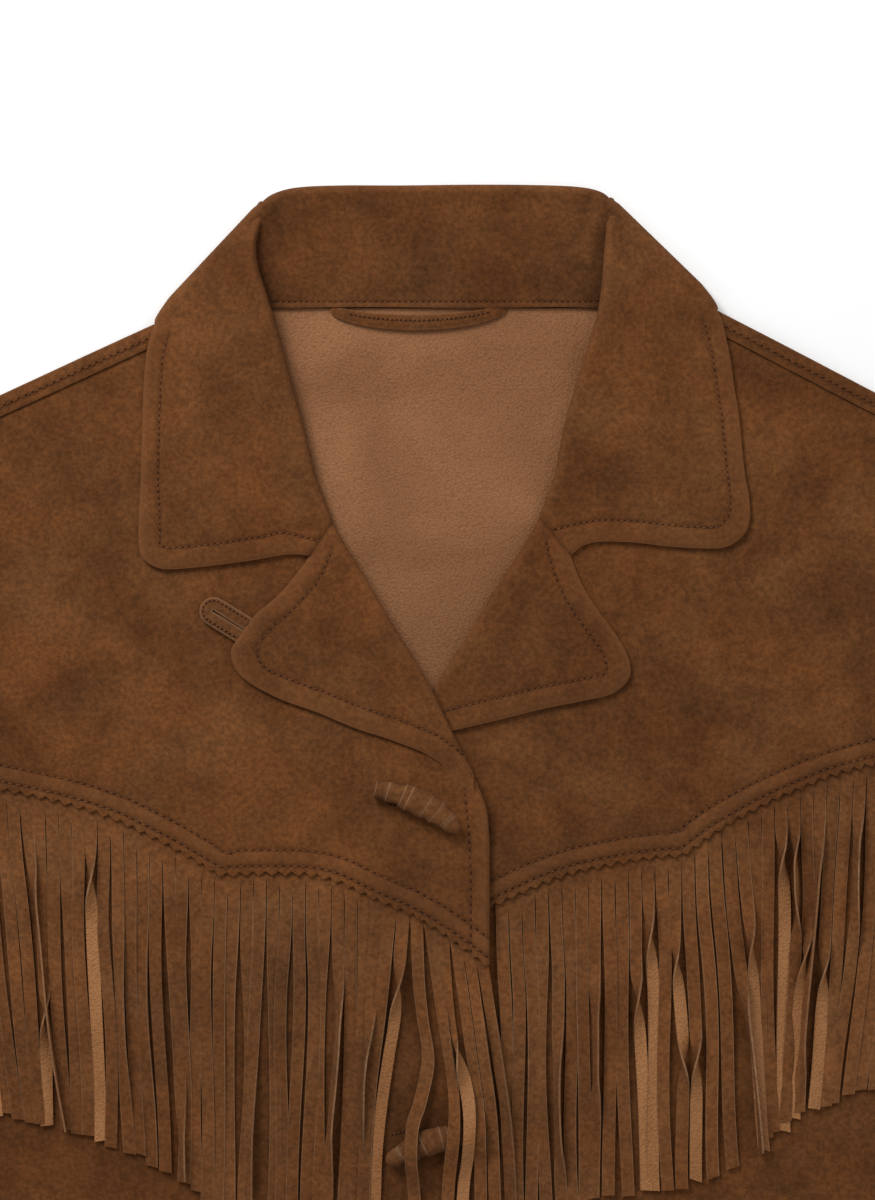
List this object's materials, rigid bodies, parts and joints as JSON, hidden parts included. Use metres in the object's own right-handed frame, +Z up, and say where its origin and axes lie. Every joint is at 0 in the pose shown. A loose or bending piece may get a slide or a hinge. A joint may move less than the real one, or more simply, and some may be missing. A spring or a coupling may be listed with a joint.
{
  "type": "fringed buckskin jacket",
  "caption": "Brown suede western jacket laid flat, with notched collar and lapels, front yokes edged with long cut fringe, lapped front and rolled-suede toggles.",
  "frame": {"origin": "centre of the laid-out jacket on the surface it rests on", "axes": "+Z up out of the front of the jacket, +Y towards the collar, +X towards the wearer's left side, from sleeve to sleeve"},
  "size_m": [1.0748, 0.7073, 0.0223],
  "materials": {
    "suede": "brushed suede nap, mottled brown",
    "fringe": "brushed suede strips with pale cut edges and a smooth tan back",
    "toggle": "rolled suede with pale cut edges",
    "grain": "smooth tan grain leather, the inner side",
    "thread": "matt brown sewing thread"
  },
  "bodies": {
    "root": {"back": "suede", "front_right": "suede", "front_left": "suede", "yoke_right": "suede", "yoke_left": "suede", "fringe_right": "fringe", "fringe_left": "fringe", "collar": "suede", "lapel_right": "suede", "lapel_left": "suede", "sleeve_right": "suede", "sleeve_left": "suede", "hanger_loop": "suede", "lapel_loop": "suede", "toggle_1": "toggle", "toggle_2": "toggle", "toggle_3": "toggle"}
  },
  "joints": []
}
